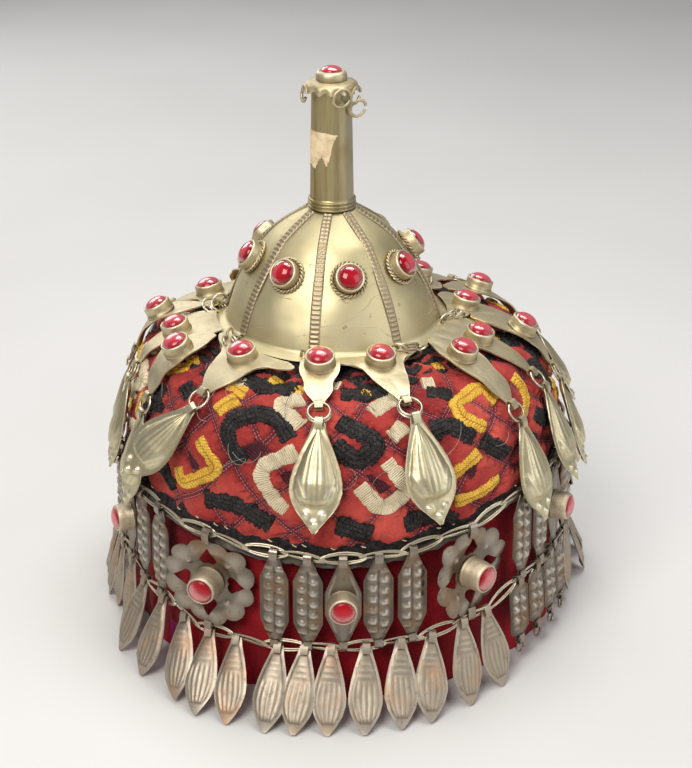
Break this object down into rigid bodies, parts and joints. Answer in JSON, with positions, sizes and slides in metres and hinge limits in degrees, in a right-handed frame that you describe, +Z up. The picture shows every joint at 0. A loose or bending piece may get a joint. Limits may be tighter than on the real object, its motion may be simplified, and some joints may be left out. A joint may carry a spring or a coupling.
{
  "type": "ceremonial wedding hat",
  "caption": "Quilted red cap with a ribbed metal dome and tube finial, red cabochons, stone-set plates with teardrops, and a chained fringe of rosettes and long metal drops.",
  "frame": {"origin": "middle of the hat's footprint, on the surface that it stands on", "axes": "+Z up; -Y is the front, as pictured; the hat's left in the picture is -X"},
  "size_m": [0.2254, 0.2432, 0.2365],
  "materials": {
    "quilted_cloth": "faded red quilted cotton with thick chain-stitched hooks in black, yellow and cream",
    "rim_binding": "dark grey-brown rolled binding, worn",
    "band_cloth": "bright red cotton, slightly fuzzy, with a magenta strip",
    "dome_metal": "pale greenish-gold sheet metal, engraved, softly polished, with small stains",
    "tube_metal": "dull streaky brass with a patch of old paper residue",
    "plate_metal": "pale silvery-gold sheet metal, stamped, worn bright on the ridges",
    "fringe_metal": "tarnished grey-brown silver, embossed",
    "drop_metal": "silver with copper tints showing through the wear, embossed",
    "red_stone": "red glass cabochons in plain metal cups"
  },
  "bodies": {
    "root": {"cap_shell": "quilted_cloth", "rim_roll": "rim_binding", "red_band": "band_cloth", "dome": "dome_metal", "dome_stone_1": "red_stone", "dome_stone_2": "red_stone", "dome_stone_3": "red_stone", "dome_stone_4": "red_stone", "dome_stone_5": "red_stone", "dome_stone_6": "red_stone", "dome_stone_7": "red_stone", "dome_stone_8": "red_stone", "finial_tube": "tube_metal", "finial_cap": "plate_metal", "finial_stone": "red_stone", "wing_plate_1": "plate_metal", "wing_plate_2": "plate_metal", "wing_plate_3": "plate_metal", "wing_plate_4": "plate_metal", "wing_plate_5": "plate_metal", "wing_plate_6": "plate_metal", "wing_plate_7": "plate_metal", "wing_plate_8": "plate_metal", "wing_drop_1": "plate_metal", "wing_drop_2": "plate_metal", "wing_drop_3": "plate_metal", "wing_drop_4": "plate_metal", "wing_drop_5": "plate_metal", "wing_drop_6": "plate_metal", "wing_drop_7": "plate_metal", "wing_drop_8": "plate_metal", "leaf_plate_1": "plate_metal", "leaf_plate_2": "plate_metal", "leaf_plate_3": "plate_metal", "leaf_plate_4": "plate_metal", "leaf_plate_5": "plate_metal", "leaf_plate_6": "plate_metal", "leaf_plate_7": "plate_metal", "leaf_plate_8": "plate_metal", "leaf_drop_1": "plate_metal", "leaf_drop_2": "plate_metal", "leaf_drop_3": "plate_metal", "leaf_drop_4": "plate_metal", "leaf_drop_5": "plate_metal", "leaf_drop_6": "plate_metal", "leaf_drop_7": "plate_metal", "leaf_drop_8": "plate_metal", "stone_lozenge_1": "fringe_metal", "stone_lozenge_2": "fringe_metal", "stone_lozenge_3": "fringe_metal", "stone_lozenge_4": "fringe_metal", "stone_lozenge_5": "fringe_metal", "rosette_1": "fringe_metal", "rosette_2": "fringe_metal", "rosette_3": "fringe_metal", "rosette_4": "fringe_metal", "rosette_5": "fringe_metal", "upper_chain": "fringe_metal", "lower_chain": "drop_metal"}
  },
  "joints": []
}
